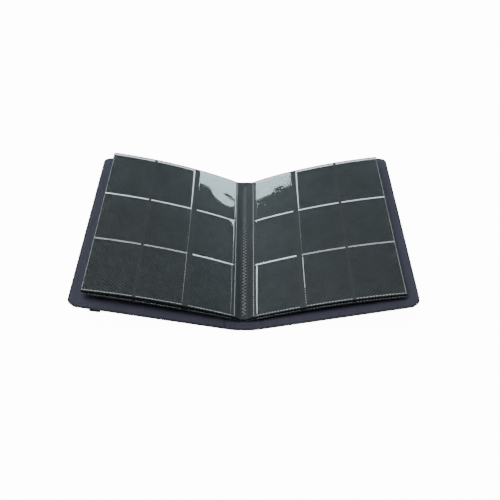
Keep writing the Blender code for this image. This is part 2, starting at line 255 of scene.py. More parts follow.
class Leaf(Panel):
    """A leaf: its CAD plate's axes, and the bow and twist of the soft sheet over that plate."""

    def __init__(self, side_name, number):
        top = number == LEAVES
        self.number = number
        self.body = f"{side_name}_top_leaf" if top else f"{side_name}_leaf_{number}"
        self.node = f"{self.body}_core" if top else self.body
        joint = f"{side_name}_page_turn" if top else f"{self.body}_hinge"
        super().__init__(side_name, joint, self.node)
        share = (number - 1) / (LEAVES - 1)
        low, high = BOW[side_name]
        self.bow = low + share * (high - low)
        self.twist, self.reach = TWIST[side_name]
        self.first_weld = self.length - COLUMNS * PITCH
        self.root = self.first_weld - ROOT_BACK
        self.seam_z = SEAM_LOW + share * (SEAM_HIGH - SEAM_LOW)
        self.shift = 0.0 if top else INNER_SHIFT + SCATTER.uniform(-LEAF_SCATTER, LEAF_SCATTER)
        if number == FORWARD_LEAF:
            self.shift = FORWARD_SHIFT

    def lift(self, s, y):
        """Height of the bowed sheet above the flat plate, none at the root."""
        out = np.maximum(s - self.root, 0.0)
        share = out / (self.length - self.root)
        bow = 4 * self.bow * share * (1 - share)
        return bow + self.twist * y / self.half * (1 - np.exp(-out / self.reach))

    def loft(self, face):
        """Share of a pocket's relief that the leaves around this face leave room for."""
        if face < 0 or self.number < LEAVES - 1:
            return PRESSED_LOFT
        return 1.0 if self.number == LEAVES else NEXT_LOFT

    def sheet(self, s, y, h):
        """World points at the height h above the bowed sheet."""
        return self.place(s, y + self.shift, self.lift(s, y) + h)

    def margin(self, share, y, h):
        """Points between the sewn strip, share 0, and the root, share 1."""
        share, y, h = np.broadcast_arrays(share, y, h)
        start = np.stack(
            (np.full(y.shape, self.side * SEAM_EDGE), y + self.shift, np.full(y.shape, self.seam_z)),
            axis=-1,
        )
        end = self.sheet(np.full(y.shape, self.root), y, np.zeros(y.shape))
        beyond = self.sheet(np.full(y.shape, self.root + 1.0), y, np.zeros(y.shape))
        length = np.linalg.norm(end - start, axis=-1, keepdims=True)
        leave = np.array((self.side, 0.0, 0.0)) * length
        arrive = (beyond - end) / np.linalg.norm(beyond - end, axis=-1, keepdims=True) * length
        q = share[..., None]
        point = (
            (2 * q**3 - 3 * q**2 + 1) * start + (q**3 - 2 * q**2 + q) * leave
            + (3 * q**2 - 2 * q**3) * end + (q**3 - q**2) * arrive
        )
        slope = (
            6 * (q**2 - q) * (start - end) + (3 * q**2 - 4 * q + 1) * leave
            + (3 * q**2 - 2 * q) * arrive
        )
        upward = np.cross(slope, ALONG_Y) * self.side
        upward /= np.linalg.norm(upward, axis=-1, keepdims=True)
        return point + h[..., None] * upward


# ---- mesh helpers ----
def spread(start, end, step):
    """Even values from start to end, about step apart."""
    return np.linspace(start, end, max(2, round(abs(end - start) / step) + 1))


def shell(top, under, flat, slots=None):
    """A thin closed solid between two grids of points: (points, faces, material slots, flat).
    flat holds each point's place on the flat sheet, which the materials' patterns follow."""
    rows, columns = top.shape[:2]
    count = rows * columns
    index = np.arange(count).reshape(rows, columns)
    quads = np.stack((index[:-1, :-1], index[1:, :-1], index[1:, 1:], index[:-1, 1:]), axis=-1)
    quads = quads.reshape(-1, 4)
    border = np.concatenate(
        (index[0, :-1], index[:-1, -1], index[-1, :0:-1], index[:0:-1, 0])
    )
    after = np.roll(border, -1)
    rim = np.stack((after, border, border + count, after + count), axis=-1)
    faces = np.concatenate((quads, quads[:, ::-1] + count, rim))
    chosen = np.zeros(len(faces), int)
    if slots is not None:
        chosen[:2 * len(quads)] = np.tile(slots.ravel(), 2)
    points = np.concatenate((top.reshape(-1, 3), under.reshape(-1, 3)))
    return points, faces, chosen, np.tile(flat.reshape(-1, 3), (2, 1))


def add_piece(name, shells, materials):
    """An object made of shells, with smooth shading and the flat places in its sheet attribute."""
    offsets = np.cumsum([0] + [len(part[0]) for part in shells])
    points = np.concatenate([part[0] for part in shells]) * MM
    faces = np.concatenate([part[1] + offset for part, offset in zip(shells, offsets)])
    mesh = bpy.data.meshes.new(name)
    mesh.from_pydata(points.tolist(), [], faces.tolist())
    mesh.polygons.foreach_set("material_index", np.concatenate([part[2] for part in shells]))
    flat = mesh.attributes.new("sheet", "FLOAT_VECTOR", "POINT")
    flat.data.foreach_set("vector", np.concatenate([part[3] for part in shells]).ravel())
    for mat in materials:
        mesh.materials.append(mat)
    bm = bmesh.new()
    bm.from_mesh(mesh)
    bmesh.ops.recalc_face_normals(bm, faces=bm.faces)
    bm.to_mesh(mesh)
    bm.free()
    mesh.shade_smooth()
    mesh.set_sharp_from_angle(angle=math.radians(SHARP_ANGLE))
    obj = bpy.data.objects.new(name, mesh)
    bpy.context.scene.collection.objects.link(obj)
    return obj


def smooth_noise(x, y, length, seed):
    """Noise from about -1 to 1 over arrays of places, with features about length across."""
    gain = 1.6
    flat = [
        noise.noise(Vector((a / length, b / length, seed)))
        for a, b in zip(np.ravel(x), np.ravel(y))
    ]
    return np.reshape(flat, np.shape(x)) * gain


def round_over(depth, radius):
    """How far a rounded edge has dropped, at this depth in from the outline."""
    near = np.clip(1 - depth / radius, 0.0, 1.0)
    return radius * (1 - np.sqrt(1 - near**2))


def from_outline(s, y, end, half, corner):
    """Depth of each point inside an outline whose two outer corners are rounded."""
    past_s = s - (end - corner)
    past_y = np.abs(y) - (half - corner)
    straight = np.minimum(end - s, half - np.abs(y))
    rounded = corner - np.hypot(np.maximum(past_s, 0), np.maximum(past_y, 0))
    return np.maximum(np.where((past_s > 0) & (past_y > 0), rounded, straight), 0.0)


def outline_half(s, end, half, corner):
    """Half the height of that outline at s."""
    past = np.clip(s - (end - corner), 0.0, corner)
    return half - corner + np.sqrt(corner**2 - past**2)


def edge_steps(radius):
    """Depths at which a rounded edge gets its rows of points."""
    return radius * np.array((0.0, 0.04, 0.15, 0.34, 0.62, 1.0))


def across(half, steps, spacing):
    """Shares, from -1 to 1, of columns that crowd towards both edges by the given steps."""
    inner = half - steps[-1]
    middle = spread(-inner, inner, spacing)
    side = half - steps[:-1]
    return np.concatenate((-side, middle, side[::-1])) / half


# ---- covers ----
def cover_stations(path, end, radius, extra=()):
    """Values of t, close together at the crease, at the fore-edge and at the extra places.
    The plain rows between them stay 1 to 2 mm clear of the close ones."""
    crease = path.crease + np.linspace(-CREASE_SPAN, CREASE_SPAN, CREASE_ROWS) * CREASE_HALF
    marks = [mark + np.linspace(-MARK_SPAN, MARK_SPAN, MARK_ROWS) for mark in extra]
    edge = end - edge_steps(radius)
    rest = np.concatenate(
        (
            spread(0, crease[0] - 1, SPINE_STEP),
            spread(crease[-1] + 1.5, edge.min() - 2, COVER_STEP),
        )
    )
    for mark in extra:
        rest = rest[np.abs(rest - mark) > 2.0]
    return np.sort(np.concatenate((rest, crease, edge, *marks)))


def pressed(path, t):
    """1 in the middle of the joint at the crease, 0 outside it."""
    return np.exp(-(((t - path.crease) / CREASE_HALF) ** 4))


def cover_flat(path, t, y):
    """The place on the flat skin or lining, for its sheet attribute."""
    return np.stack((t * path.panel.side, y, np.zeros(t.shape)), axis=-1)


def make_cover_skin(side_name, path):
    """Leatherette round the board and over half the spine, with the joint pressed in."""
    t = cover_stations(path, path.end, SKIN_ROUND)[:, None]
    half = outline_half(t, path.end, path.half, COVER_CORNER)
    y = half * across(path.half, edge_steps(SKIN_ROUND), SKIN_STEP)[None, :]
    t = np.broadcast_to(t, y.shape)
    drop = round_over(from_outline(t, y, path.end, path.half, COVER_CORNER), SKIN_ROUND)
    joint = pressed(path, t)
    top = path.place(t, y, SKIN_TOP - CREASE_PRESS * joint - drop)
    under = path.place(t, y, CREASE_DENT * joint + drop)
    skin = add_piece(
        f"{side_name}_cover_skin_wrap", [shell(top, under, cover_flat(path, t, y))],
        [MATERIALS["leatherette"]],
    )
    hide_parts(f"{side_name}_cover_skin", "spine_skin")
    bend_at_crease(skin, path)


def make_cover_liner(side_name, path):
    """Lining over the inside of a cover and half the spine, slightly uneven where it is glued."""
    end = path.end - LINER_INSET
    half = path.half - LINER_INSET
    corner = COVER_CORNER - LINER_INSET
    marks = FOLD_LINES[side_name]
    t = cover_stations(path, end, LINER_ROUND, marks)[:, None]
    hem_steps = (2.0, 6.0, HEM - 1.5, HEM - 0.5, HEM + 0.5, HEM + 1.5)
    steps = np.concatenate((edge_steps(LINER_ROUND), hem_steps))
    y = outline_half(t, end, half, corner) * across(half, steps, COVER_STEP)[None, :]
    t = np.broadcast_to(t, y.shape)
    depth = from_outline(t, y, end, half, corner)
    hem = HEM_STEP / (1 + np.exp((depth - HEM) * HEM_SLOPE))
    fold = sum(np.exp(-(((t - mark) / FOLD_WIDTH) ** 2)) for mark in marks) * FOLD_DEPTH
    uneven = GLUE_WAVE * smooth_noise(t, y, GLUE_WAVE_LENGTH, path.panel.side)
    sunk = CREASE_PRESS * pressed(path, t)
    drop = round_over(depth, LINER_ROUND)
    top = path.place(t, y, LINER_TOP + hem - fold + uneven - sunk - drop)
    under = path.place(t, y, LINER_LOW - sunk + drop)
    liner = add_piece(
        f"{side_name}_cover_lining", [shell(top, under, cover_flat(path, t, y))],
        [MATERIALS["lining"]],
    )
    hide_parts(f"{side_name}_cover_liner", "spine_liner")
    bend_at_crease(liner, path)


def bend_at_crease(obj, path):
    """Bakes obj's place into its mesh, which is already shaped along the spine up to the crease and
    the cover after it; the ends of a bend there are worked out but not used.
    """
    start, end = (
        path.place(
            np.array(path.crease + way * CREASE_HALF * CREASE_BEND), np.array(0.0), np.array(1.0)
        )
        for way in (-1, 1)
    )
    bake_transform(obj)


# ---- strap ----
def make_strap(path):
    """The ribbed elastic on the outside of the left cover, in two halves; the points where each half
    is held and free are worked out but not used.
    """
    band = node_points("strap_band")
    s = (band - path.panel.origin) @ path.panel.along
    h = (band - path.panel.origin) @ path.panel.normal
    middle, width = (s.min() + s.max()) / 2, s.max() - s.min()
    level = (h.min() + h.max()) / 2
    share = np.linspace(-1, 1, STRAP_COLUMNS)[None, :]
    half_thick = STRAP_THICK / 2 * (1 - share**STRAP_POWER) ** 0.5
    rib = RIB_RISE * np.cos(share * math.pi * STRAP_RIBS)
    end = path.half + STRAP_OUT
    out = np.concatenate((np.linspace(0, end, STRAP_ROWS), np.full(TURN_ROWS, end)))
    turn = np.concatenate((np.zeros(STRAP_ROWS), np.linspace(0, STRAP_TURN, TURN_ROWS + 1)[1:]))
    turn = np.radians(turn)[:, None]
    radius = -level
    for name, way in (("near", -1), ("far", 1)):
        across_s = middle + share * width / 2 + 0 * turn
        lower, upper = (
            (out[:, None] + np.sin(turn) * (radius + put), -np.cos(turn) * (radius + put))
            for put in (half_thick - rib, rib - half_thick)
        )
        y = way * (out[:, None] + np.sin(turn) * radius) + 0 * across_s
        flat = np.stack((across_s, y, 0 * y), axis=-1)
        top = path.panel.place(across_s, way * upper[0], upper[1])
        under = path.panel.place(across_s, way * lower[0], lower[1])
        strap = add_piece(
            f"strap_{name}_half", [shell(top, under, flat)], [MATERIALS["elastic"]]
        )
        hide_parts("strap_band", f"strap_end_{name}")
        held, free = (
            path.panel.place(np.array(middle), np.array(way * at), np.array(level)) * MM
            for at in (path.half - STRAP_HELD, STRAP_FREE)
        )
        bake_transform(strap)


# ---- leaves ----
def page_grid(leaf, step_s, step_y):
    """s and y over the leaf outside its root, with rounded outer corners."""
    outer = leaf.length - np.array(CORNER_STEPS)
    s = np.sort(np.concatenate((spread(leaf.root, outer.min() - 1.5, step_s), outer)))[:, None]
    y = outline_half(s, leaf.length, leaf.half, PAGE_CORNER) * np.linspace(
        -1, 1, round(2 * leaf.half / step_y) + 1
    )[None, :]
    return np.broadcast_to(s, y.shape), y


def flat_place(leaf, s, y):
    """The place on the flat leaf, for its sheet attribute; its number sets the leaves apart."""
    return np.stack((s, y, np.full(s.shape, float(leaf.number))), axis=-1)


def make_core(leaf, step_s, step_y):
    """The dark core sheet outside its soft margin."""
    s, y = page_grid(leaf, step_s, step_y)
    half = np.full(s.shape, CORE / 2)
    core = add_piece(
        f"{leaf.body}_core_sheet",
        [shell(leaf.sheet(s, y, half), leaf.sheet(s, y, -half), flat_place(leaf, s, y))],
        [MATERIALS["core_sheet"]],
    )
    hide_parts(leaf.node)
    settle(core, leaf)


def settle(obj, leaf):
    """obj rides on its leaf and gets a mesh of its own; the anchor at the leaf's root is worked out
    but not used.
    """
    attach(obj, leaf.body)
    anchor = leaf.place(np.array(leaf.root), np.array(0.0), np.array(0.0)) * MM
    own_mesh(obj)


def row_lines(leaf):
    """y of the film's rows of points, which crowd at the welds between rows."""
    pitch = (2 * leaf.half - NEAR_EDGE - FAR_EDGE) / ROWS
    near = np.array(WELD_STEPS)
    row = np.concatenate((near, (pitch / 2,), pitch - near[::-1]))
    start = -leaf.half + NEAR_EDGE
    lines = np.concatenate([start + row + pitch * k for k in range(ROWS)])
    return np.unique(np.round(lines, 6)), pitch


def by_row(table, back, leaf, column, face, row):
    """A front strip's values from a table, at each row of points, or the one value of a back."""
    return np.array(table[leaf.side_name][column])[row] if face > 0 else np.full(row.shape, back)


def film_columns(lip, width):
    """How far in from a strip's free edge its points lie, close together at both edges."""
    edge = np.array(LIP_SHARES)[:, None] * lip
    inner = np.array(LIP_STEPS)[:, None] + lip
    tail = np.array(TAIL_STEPS)
    body = np.linspace(0, 1, BODY_COLUMNS + 2)[1:-1, None]
    last = inner[-1:]
    return np.concatenate(
        (edge, inner, last + (width - last - tail[-1]) * body, width - tail[::-1][:, None])
    )


def film_relief(wave, open_by, lip, near_edge, from_mouth, to_weld, to_edge):
    """How far a film stands off its rest beside the welds: its ridges, pillow, mouth and curl."""
    loose = 1 - np.exp(-np.maximum(to_weld - WELD_HALF, 0) / LOOSEN)
    loose = loose * (1 - np.exp(-to_edge / LOOSEN))
    along = 1 - np.exp(-((to_weld / MOUTH_RISE) ** 2))
    mouth = open_by[None, :] * np.exp(-from_mouth / MOUTH_REACH) * along
    curl = CURL * np.clip(1 - from_mouth / (lip + CURL_PAST), 0, 1) ** 2
    curl = curl * np.clip(lip - CURL_LEAST, 0, 1)
    curl = curl * (1 - np.exp(-((to_weld / CURL_RISE) ** 2)))
    ridge = WELD_RIDGE * np.clip(1 - (to_weld / WELD_HALF) ** 2, 0, 1)
    ridge = np.where(near_edge, NEAR_RIDGE * ridge, ridge)
    edge_ridge = EDGE_RIDGE * WELD_RIDGE * np.clip(1 - (to_edge / EDGE_WELD) ** 2, 0, 1)
    relief = np.maximum(ridge, edge_ridge) + loose * (PILLOW + mouth + wave) + curl
    return np.maximum(relief, 0)


def film_shell(leaf, column, face):
    """One clear film strip: welded between rows and down its outer edge, open at the gutter side."""
    y, pitch = row_lines(leaf)
    place = (y + leaf.half - NEAR_EDGE) / pitch
    row = np.clip(np.floor(place), 0, ROWS - 1).astype(int)
    to_weld = np.abs(place - np.round(place)) * pitch
    corner = np.clip(1 - to_weld / MOUTH_CORNER, 0, 1)
    weld = leaf.first_weld + column * PITCH
    recess = np.array(RECESS[leaf.side_name][column])[row]
    start = weld + MOUTH_START[column] + recess * np.sqrt(1 - corner**2)
    end = weld + PITCH - COLUMN_END[column]
    lip = by_row(LIPS, BACK_LIP, leaf, column, face, row)
    lip = lip * (LIP_START + (1 - LIP_START) * (place - row))
    lip = lip * np.clip(to_weld / LIP_TAPER - LIP_CUT, LIP_LEAST, 1)
    from_mouth = film_columns(lip, (end - start)[None, :])
    s = start[None, :] + from_mouth
    y = np.broadcast_to(y[None, :], s.shape)
    to_weld = np.broadcast_to(to_weld[None, :], s.shape)
    to_edge = end - s
    wave = WAVE * smooth_noise(s, y, WAVE_LENGTH, 10 * leaf.number + column + 3 * leaf.side)
    open_by = by_row(MOUTHS, BACK_MOUTH, leaf, column, face, row)
    near_edge = y < NEAR_EDGE + WELD_HALF - leaf.half
    relief = film_relief(wave, open_by, lip, near_edge, from_mouth, to_weld, to_edge)
    height = CORE / 2 + FILM_REST + leaf.loft(face) * relief
    upper = leaf.sheet(s, y, face * (height + FILM))
    lower = leaf.sheet(s, y, face * height)
    slots = film_slots(leaf, column, y, to_weld, to_edge, lip)
    return shell(upper, lower, flat_place(leaf, s, y), slots)


def film_slots(leaf, column, y, to_weld, to_edge, lip):
    """Which quads of a film strip are clear, and which carry a painted highlight as white, hatched or
    faint weld.
    """
    from_weld = (to_weld[:-1, :-1] + to_weld[1:, 1:]) / 2
    from_edge = (to_edge[:-1, :-1] + to_edge[1:, 1:]) / 2
    middle = (y[:-1, :-1] + y[1:, 1:]) / 2
    slots = np.full(from_weld.shape, CLEAR)
    if column == COLUMNS - 1:
        slots[from_edge < EDGE_WELD] = HATCHED
    lip_quads = len(LIP_SHARES) - 1
    slots[:lip_quads, lip[1:] > FAINT_HIGHLIGHT_LIP] = FAINT
    slots[:lip_quads, lip[1:] > WHITE_HIGHLIGHT_LIP] = WHITE
    near_edge = middle < -leaf.half + PITCH / 2
    far_edge = middle > leaf.half - PITCH / 2
    near_line = (middle < 0) & ~near_edge
    width = np.where(near_edge, NEAR_WELD, np.where(far_edge, FAR_WELD, WELD_HALF))
    slots[from_weld < width] = WHITE
    slots[(from_weld < width) & near_line & (column > 0)] = HATCHED
    slots[(from_weld < width) & near_edge] = FAINT
    # painted highlight only on the two upper leaves and the forward leaf; the leaves inside the stack
    # lie in shade and stay clear
    if leaf.number < LEAVES - 1 and leaf.number != FORWARD_LEAF:
        slots[:] = CLEAR
    return slots


def film_materials():
    """The materials of a film strip, in the order of its slots."""
    names = ("clear_film", "white_weld_painted_highlight", "hatched_weld_painted_highlight", "faint_weld_painted_highlight")
    return [MATERIALS[name] for name in names]


def make_detailed_films(leaf):
    """A piece for each film strip of a leaf whose faces show."""
    for face_name, face in (("front", 1), ("back", -1)):
        for column in range(COLUMNS):
            film = add_piece(
                f"{leaf.body}_{face_name}_film_strip_{column + 1}",
                [film_shell(leaf, column, face)], film_materials(),
            )
            if leaf.number == LEAVES:
                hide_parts(f"{leaf.body}_{face_name}_film_{column + 1}")
            settle(film, leaf)


def make_joined_films(leaf):
    """The film strips of a leaf inside the stack, as one piece."""
    strips = [film_shell(leaf, column, face) for face in (1, -1) for column in range(COLUMNS)]
    films = add_piece(f"{leaf.body}_film_strips", strips, film_materials())
    settle(films, leaf)


def margin_shell(leaf, start, end):
    """Part of the soft inner margin, between two shares of its way to the root."""
    y = spread(-leaf.half, leaf.half, MARGIN_STEP)[None, :]
    share = np.linspace(start, end, max(3, round((end - start) * MARGIN_ROWS)))[:, None]
    share, y = np.broadcast_arrays(share, y)
    half = np.full(y.shape, CORE / 2)
    s = SEAM_EDGE + share * (leaf.root - SEAM_EDGE)
    return shell(leaf.margin(share, y, half), leaf.margin(share, y, -half), flat_place(leaf, s, y))


def margin_at(leaf, share):
    """The middle of the margin at a share of its way, in metres."""
    return leaf.margin(np.array(share), np.array(0.0), np.array(0.0)) * MM


def make_margin(leaf):
    """The strip that bends between the sewn seam and the leaf."""
    material = [MATERIALS["core_sheet"]]
    free = margin_at(leaf, MARGIN_FREE)
    if leaf.number < LEAVES:
        strip = add_piece(f"{leaf.body}_margin", [margin_shell(leaf, 0, 1)], material)
        margin_at(leaf, MARGIN_HELD)
        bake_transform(strip)
        return
    inner = add_piece(
        f"{leaf.body}_inner_margin", [margin_shell(leaf, 0, MARGIN_SPLIT)], material
    )
    inner_end = margin_at(leaf, MARGIN_SPLIT - SPLIT_GAP)
    margin_at(leaf, 0.0)
    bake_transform(inner)
    outer = add_piece(
        f"{leaf.body}_outer_margin", [margin_shell(leaf, MARGIN_SPLIT, 1)], material
    )
    margin_at(leaf, MARGIN_SPLIT + SPLIT_GAP)
    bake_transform(outer)


def make_gutter_weld(leaf):
    """The fine weld where a leaf's margin meets its first pocket column; its pale colour is a painted
    highlight.
    """
    step, points_across = 4.0, 7
    y = spread(-leaf.half + NEAR_EDGE, leaf.half - FAR_EDGE, step)[None, :]
    angle = np.linspace(0, math.pi, points_across)[:, None]
    s = leaf.root + GUTTER_WELD_OUT - GUTTER_WELD_HALF * np.cos(angle) + 0 * y
    y = y + 0 * s
    base = np.full(s.shape, CORE / 2 + GUTTER_WELD_GAP)
    height = base + GUTTER_WELD_GAP + GUTTER_WELD_RISE * np.sin(angle)
    weld = add_piece(
        f"{leaf.body}_gutter_weld",
        [shell(leaf.sheet(s, y, height), leaf.sheet(s, y, base), flat_place(leaf, s, y))],
        [MATERIALS["faint_weld_painted_highlight"]],
    )
    settle(weld, leaf)


def make_leaves(side_name):
    """The leaves of a side; only the two upper ones ever show a face."""
    for number in range(1, LEAVES + 1):
        leaf = Leaf(side_name, number)
        shows = number >= LEAVES - 1
        make_core(leaf, *(FINE_STEPS if shows else COARSE_STEPS))
        make_margin(leaf)
        if shows:
            make_detailed_films(leaf)
            make_gutter_weld(leaf)
        else:
            make_joined_films(leaf)


# ---- seam ----
def make_sewn_strips():
    """The sewn strips in the middle of the sheets."""
    strips = []
    for number in range(1, LEAVES + 1):
        leaf = Leaf("right", number)
        x = np.linspace(-SEAM_EDGE, SEAM_EDGE, SEAM_ROWS)[:, None]
        y = spread(-leaf.half, leaf.half, SEAM_STEP)[None, :]
        x, y = np.broadcast_arrays(x, y)
        z = np.full(x.shape, leaf.seam_z)
        top = np.stack((x, y, z + CORE / 2), axis=-1)
        under = np.stack((x, y, z - CORE / 2), axis=-1)
        strips.append(shell(top, under, np.stack((abs(x), y, z), axis=-1)))
    seam = add_piece("sewn_sheet_strips", strips, [MATERIALS["core_sheet"]])
    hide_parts("sewn_sheet_centres")
    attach(seam, "spine")


def make_stitches():
    """The zigzag of stitches through the sewn strips, each a low arch of thread."""
    half = node_points("seam_thread")[:, 1].max()
    curve = bpy.data.curves.new("seam_stitches", "CURVE")
    curve.dimensions = "3D"
    curve.bevel_depth = STITCH_RADIUS * MM
    curve.bevel_resolution = 2
    curve.use_fill_caps = True
    count = int(2 * half / STITCH_PITCH)
    for number in range(count):
        way = 1 if number % 2 else -1
        first = -count * STITCH_PITCH / 2 + number * STITCH_PITCH
        spline = curve.splines.new("POLY")
        spline.points.add(STITCH_POINTS - 1)
        for point, share in zip(spline.points, np.linspace(0, 1, STITCH_POINTS)):
            x = way * STITCH_HALF * (1 - 2 * share)
            rise = STITCH_RISE * math.sin(math.pi * share) ** STITCH_ARCH
            z = SEAM_HIGH - STITCH_SINK + rise
            point.co = (x * MM, (first + share * STITCH_PITCH) * MM, z * MM, 1.0)
    curve.materials.append(MATERIALS["thread"])
    stitches = bpy.data.objects.new("seam_stitches", curve)
    bpy.context.scene.collection.objects.link(stitches)
    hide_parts("seam_thread")
    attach(stitches, "spine")


# ---- materials ----
def add(tree, kind, inputs=None, **settings):
    """A new node; an input is a plain value or another node's socket."""
    node = tree.nodes.new("ShaderNode" + kind)
    for key, value in settings.items():
        setattr(node, key, value)
    for key, value in (inputs or {}).items():
        if isinstance(value, bpy.types.NodeSocket):
            tree.links.new(value, node.inputs[key])
        else:
            node.inputs[key].default_value = value
    return node


def new_material(name, **values):
    """A material's node tree and its Principled shader."""
    mat = bpy.data.materials.new(name)
    mat.use_nodes = True
    shader = mat.node_tree.nodes["Principled BSDF"]
    for key, value in values.items():
        shader.inputs[key.replace("_", " ").title().replace("Ior", "IOR")].default_value = value
    return mat, mat.node_tree, shader


def on_sheet(tree):
    """The place on the flat sheet, in millimetres."""
    return add(tree, "Attribute", attribute_name="sheet").outputs["Vector"]


def in_object(tree):
    """The place in the object, in millimetres, for pieces with no sheet attribute."""
    place = add(tree, "TexCoord").outputs["Object"]
    return add(tree, "VectorMath", {0: place, 1: (1 / MM,) * 3}, operation="MULTIPLY").outputs[0]


def noise_value(tree, place, size, detail=3.0, roughness=0.55):
    """Noise with features about size millimetres across."""
    inputs = {"Vector": place, "Scale": 1 / size, "Detail": detail, "Roughness": roughness}
    return add(tree, "TexNoise", inputs).outputs["Fac"]


def stripes(tree, place, period, degrees):
    """A wave from 0 to 1 across the sheet, turned by so many degrees."""
    turned = add(tree, "Mapping", {"Vector": place, "Rotation": (0, 0, math.radians(degrees))})
    scale = math.pi / 10 / period    # at a scale of 1, a wave repeats every pi / 10
    return add(tree, "TexWave", {"Vector": turned.outputs[0], "Scale": scale}).outputs["Fac"]


def cross_weave(tree, place, pitch):
    """Threads of the given pitch both ways, from 0 between them to 1 on top."""
    weft = stripes(tree, place, pitch, 0.0)
    warp = stripes(tree, place, pitch, 90.0)
    return add(tree, "Math", {0: weft, 1: warp}, operation="MAXIMUM").outputs[0]


def total(tree, *weighted):
    """The sum of (socket, weight) pairs."""
    result = None
    for socket, weight in weighted:
        term = add(tree, "Math", {0: socket, 1: weight}, operation="MULTIPLY").outputs[0]
        if result is not None:
            term = add(tree, "Math", {0: result, 1: term}, operation="ADD").outputs[0]
        result = term
    return result


def ramp(tree, factor, low, high, first, second):
    """A colour from first to second as factor goes from low to high."""
    node = add(tree, "ValToRGB", {"Fac": factor})
    for element, place, colour in zip(node.color_ramp.elements, (low, high), (first, second)):
        element.position = place
        element.color = (*colour, 1.0)
    return node.outputs["Color"]


def level(tree, factor, low, high, first, second):
    """A number from first to second as factor goes from low to high."""
    inputs = {"Value": factor, 1: low, 2: high, 3: first, 4: second}
    return add(tree, "MapRange", inputs).outputs[0]


def bump(tree, shader, height, depth):
    """Bump of the given depth in millimetres."""
    node = add(tree, "Bump", {"Height": height, "Distance": depth * MM, "Strength": 1.0})
    tree.links.new(node.outputs[0], shader.inputs["Normal"])


def surface(tree, shader, base, roughness, height, depth):
    """Gives the shader its base colour, its roughness and its bump."""
    tree.links.new(base, shader.inputs["Base Color"])
    tree.links.new(roughness, shader.inputs["Roughness"])
    bump(tree, shader, height, depth)


def leatherette_material():
    """Fine-grained black synthetic leather, a little polished on the high spots."""
    mat, tree, shader = new_material("leatherette_grain", specular_ior_level=0.4)
    place = on_sheet(tree)
    pebble_size = 0.95
    cells = add(
        tree, "TexVoronoi", {"Vector": place, "Scale": 1 / pebble_size, "Randomness": 1.0},
        feature="DISTANCE_TO_EDGE",
    ).outputs["Distance"]
    pebble = level(tree, cells, 0.0, 0.3, 0.0, 1.0)
    patches = noise_value(tree, place, 40.0, 4.0)
    fine = noise_value(tree, place, 0.35)
    base = ramp(tree, patches, 0.3, 0.75, (0.010, 0.010, 0.013), (0.020, 0.020, 0.025))
    polish = total(tree, (pebble, -0.14), (fine, 0.10), (patches, 0.25))
    rough = add(tree, "Math", {0: polish, 1: 0.42}).outputs[0]
    surface(tree, shader, base, rough, total(tree, (pebble, 0.7), (fine, 0.3)), 0.14)
    return mat


def lining_material():
    """Dark navy lining: a fine cross weave with thicker threads here and there."""
    mat, tree, shader = new_material("navy_weave", specular_ior_level=0.12, sheen_weight=0.05)
    shader.inputs["Sheen Roughness"].default_value = 0.4
    shader.inputs["Sheen Tint"].default_value = (0.5, 0.52, 0.7, 1.0)
    place = on_sheet(tree)
    weave = cross_weave(tree, place, 0.8)
    drawn_out = add(tree, "Mapping", {"Vector": place, "Scale": (1, 0.08, 1)}).outputs[0]
    slub = noise_value(tree, drawn_out, 1.4)
    patches = noise_value(tree, place, 55.0, 3.0)
    shade = total(tree, (weave, 0.35), (slub, 0.4), (patches, 0.5))
    base = ramp(tree, shade, 0.35, 0.9, (0.029, 0.030, 0.0435), (0.050, 0.052, 0.0745))
    rough = level(tree, patches, 0.3, 0.7, 0.62, 0.8)
    surface(tree, shader, base, rough, total(tree, (weave, 0.6), (slub, 0.4)), 0.07)
    return mat


def core_material():
    """Dark plastic sheet with a fine diagonal emboss."""
    mat, tree, shader = new_material("embossed_core", specular_ior_level=0.35)
    place = on_sheet(tree)
    emboss_pitch, emboss_angle = 3.86, 55.4
    diagonal = stripes(tree, place, emboss_pitch, emboss_angle)
    crossing = stripes(tree, place, emboss_pitch / 2, emboss_angle - 90)
    patches = noise_value(tree, place, 60.0, 3.0)
    fine = noise_value(tree, place, 0.5)
    shade = total(tree, (diagonal, 0.7), (crossing, 0.15), (patches, 0.15))
    base = ramp(tree, shade, 0.1, 0.9, (0.0075, 0.0088, 0.0094), (0.0235, 0.027, 0.029))
    rough = level(tree, patches, 0.3, 0.7, 0.5, 0.6)
    height = total(tree, (diagonal, 0.7), (crossing, 0.25), (fine, 0.1))
    surface(tree, shader, base, rough, height, 0.2)
    return mat


def film_material():
    """Clear soft film: it shows what lies under it, mirrors the lamps and has faint scuffs."""
    mat, tree, shader = new_material(
        "clear_pocket_film", base_color=(0.80, 0.86, 0.88, 1.0), specular_ior_level=0.5
    )
    place = on_sheet(tree)
    drawn_out = add(tree, "Mapping", {"Vector": place, "Scale": (1, 0.12, 1)}).outputs[0]
    scuffs = noise_value(tree, drawn_out, 3.0, 6.0, 0.7)
    haze = noise_value(tree, place, 18.0, 3.0)
    clear = add(tree, "BsdfTransparent", {"Color": (0.95, 0.965, 0.97, 1.0)})
    gloss = add(tree, "BsdfGlossy", {"Color": (0.96, 0.99, 1.0, 1.0)})
    tree.links.new(level(tree, scuffs, 0.4, 0.75, 0.03, 0.06), gloss.inputs["Roughness"])
    slant = add(tree, "LayerWeight", {"Blend": 0.5}).outputs["Facing"]
    grazing = add(tree, "Math", {0: slant, 1: 5.0}, operation="POWER").outputs[0]
    mirror = add(tree, "Math", {0: grazing, 1: 0.95, 2: 0.045}, operation="MULTIPLY_ADD").outputs[0]
    pane = add(tree, "MixShader", {0: mirror, 1: clear.outputs[0], 2: gloss.outputs[0]})
    tree.links.new(level(tree, haze, 0.3, 0.7, 0.25, 0.4), shader.inputs["Roughness"])
    dust = level(tree, total(tree, (haze, 0.6), (scuffs, 0.4)), 0.35, 0.75, 0.002, 0.010)
    mix = add(tree, "MixShader", {0: dust, 1: pane.outputs[0], 2: shader.outputs[0]})
    tree.links.new(mix.outputs[0], tree.nodes["Material Output"].inputs["Surface"])
    return mat


